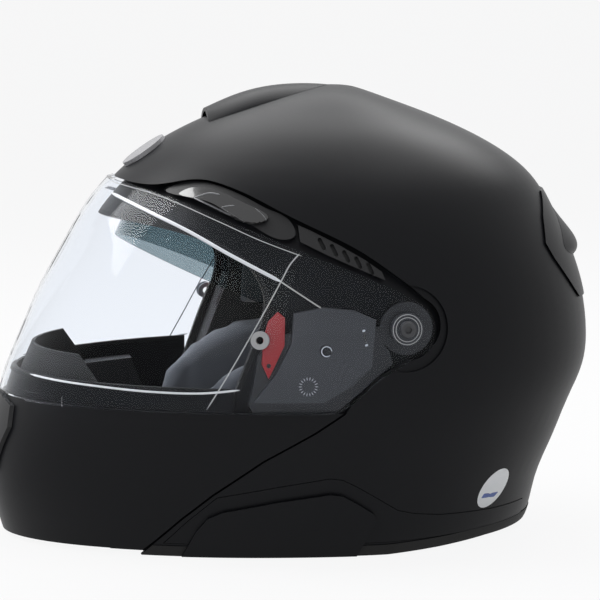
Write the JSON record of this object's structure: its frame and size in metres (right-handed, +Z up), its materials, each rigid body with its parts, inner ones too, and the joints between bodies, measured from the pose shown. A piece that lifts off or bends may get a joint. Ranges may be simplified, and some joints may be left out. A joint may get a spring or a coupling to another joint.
{
  "type": "modular motorcycle helmet",
  "caption": "Matte black modular motorcycle helmet with clear visor, drop-down inner sun visor, flip-up chin bar, vents, padding and strap.",
  "frame": {"origin": "middle of the base, on the surface the helmet stands on", "axes": "+Z up, nose towards -X, wearer's left towards -Y"},
  "size_m": [0.3511, 0.2544, 0.2568],
  "materials": {
    "shell_paint": "matte black lacquer",
    "black_plastic": "grained",
    "gloss_plastic": "smooth",
    "clear": "clear polycarbonate",
    "tinted": "tinted polycarbonate",
    "rubber": "matte",
    "foam": "moulded bead foam",
    "padding": "brushed knit",
    "webbing": "woven",
    "steel": "stamped",
    "red": "smooth",
    "white_plastic": "smooth",
    "silver": "satin"
  },
  "bodies": {
    "helmet": {"brow_frame_left": "black_plastic", "brow_frame_right": "black_plastic", "buckle_base": "steel", "buckle_tongue": "steel", "cheek_pad_left": "padding", "cheek_pad_right": "padding", "chin_strap_left": "webbing", "chin_strap_right": "webbing", "crown_pad": "padding", "eye_port_trim": "rubber", "forehead_badge": "silver", "impact_liner": "foam", "lever_track": "black_plastic", "neck_roll": "padding", "neck_trim": "rubber", "pivot_base_left": "black_plastic", "pivot_base_right": "black_plastic", "pivot_shafts": "steel", "rear_spoiler": "shell_paint", "rear_vent": "shell_paint", "shell": "shell_paint", "side_cover_left": "shell_paint", "side_cover_right": "shell_paint", "side_louvre_left": "black_plastic", "side_louvre_right": "black_plastic", "side_skirt_left": "shell_paint", "side_skirt_right": "shell_paint", "strap_rivets": "steel", "strikers": "steel", "top_vent": "shell_paint"},
    "chin_bar": {"chin_bar": "shell_paint", "chin_liner": "foam", "cover_screws": "steel", "latch_pins": "steel", "chin_vent_frame": "black_plastic", "chin_grille": "black_plastic", "breath_guard": "rubber", "visor_seal": "rubber", "chin_arm_left": "steel", "chin_arm_right": "steel", "arm_cover_left": "black_plastic", "arm_cover_right": "black_plastic"},
    "visor": {"visor": "clear", "insert_pins": "white_plastic", "visor_hub_left": "black_plastic", "visor_hub_right": "black_plastic"},
    "sun_visor": {"sun_visor": "tinted"},
    "sun_lever": {"sun_lever": "black_plastic"},
    "release_button": {"release_button": "black_plastic"},
    "latch_hook_left": {"latch_hook_left": "steel"},
    "latch_hook_right": {"latch_hook_right": "steel"},
    "brow_slider_left": {"brow_slider_left": "gloss_plastic"},
    "brow_slider_right": {"brow_slider_right": "gloss_plastic"},
    "top_slider": {"top_slider": "black_plastic"},
    "chin_vent_shutter": {"chin_vent_shutter": "black_plastic"},
    "visor_release_left": {"visor_release_left": "red"},
    "visor_release_right": {"visor_release_right": "red"},
    "buckle_lever": {"buckle_lever": "steel"}
  },
  "joints": [
    {"name": "chin_bar_swing", "type": "hinge", "parent": "helmet", "child": "chin_bar", "pos_m": [0.046, 0, 0.129], "axis": [0, 1, 0], "range_deg": [0, 80]},
    {"name": "visor_swing", "type": "hinge", "parent": "chin_bar", "child": "visor", "pos_m": [0.046, 0, 0.129], "axis": [0, 1, 0], "range_deg": [0, 47]},
    {"name": "sun_lever_slide", "type": "slide", "parent": "helmet", "child": "sun_lever", "axis": [0.9807, -0.1957, 0], "range_m": [0, 0.016]},
    {"name": "sun_visor_drop", "type": "hinge", "parent": "helmet", "child": "sun_visor", "pos_m": [0.01, 0, 0.123], "axis": [0, -1, 0], "range_deg": [0, 25]},
    {"name": "release_button_press", "type": "slide", "parent": "chin_bar", "child": "release_button", "axis": [0, 0, 1], "range_m": [0, 0.003], "stiffness_N_per_m": 800},
    {"name": "latch_hook_left_turn", "type": "hinge", "parent": "chin_bar", "child": "latch_hook_left", "pos_m": [-0.098, -0.08463, 0.052], "axis": [0, 1, 0], "range_deg": [0, 12]},
    {"name": "latch_hook_right_turn", "type": "hinge", "parent": "chin_bar", "child": "latch_hook_right", "pos_m": [-0.098, 0.08463, 0.052], "axis": [0, 1, 0], "range_deg": [0, 12]},
    {"name": "brow_slider_left_slide", "type": "slide", "parent": "helmet", "child": "brow_slider_left", "axis": [0.7846, -0.5681, -0.2485], "range_m": [0, 0.0025]},
    {"name": "brow_slider_right_slide", "type": "slide", "parent": "helmet", "child": "brow_slider_right", "axis": [0.7846, 0.5681, -0.2485], "range_m": [0, 0.0025]},
    {"name": "top_slider_slide", "type": "slide", "parent": "helmet", "child": "top_slider", "axis": [0.9451, 0, 0.3269], "range_m": [0, 0.004]},
    {"name": "chin_vent_shutter_slide", "type": "slide", "parent": "chin_bar", "child": "chin_vent_shutter", "axis": [0.2379, 0, 0.9713], "range_m": [0, 0.005]},
    {"name": "visor_release_left_tilt", "type": "hinge", "parent": "chin_bar", "child": "visor_release_left", "pos_m": [-0.0295, -0.11681, 0.11], "axis": [0, -1, 0], "range_deg": [0, 6]},
    {"name": "visor_release_right_tilt", "type": "hinge", "parent": "chin_bar", "child": "visor_release_right", "pos_m": [-0.0295, 0.11681, 0.11], "axis": [0, -1, 0], "range_deg": [0, 6]},
    {"name": "buckle_lever_turn", "type": "hinge", "parent": "helmet", "child": "buckle_lever", "pos_m": [-0.01, -0.044, 0.0102], "axis": [1, 0, 0], "range_deg": [0, 35]}
  ],
  "couplings": [
    {"joint": "sun_visor_drop", "follows": "sun_lever_slide", "rad_per_m": 27.2},
    {"joint": "latch_hook_left_turn", "follows": "release_button_press", "rad_per_m": 69},
    {"joint": "latch_hook_right_turn", "follows": "release_button_press", "rad_per_m": 69}
  ]
}
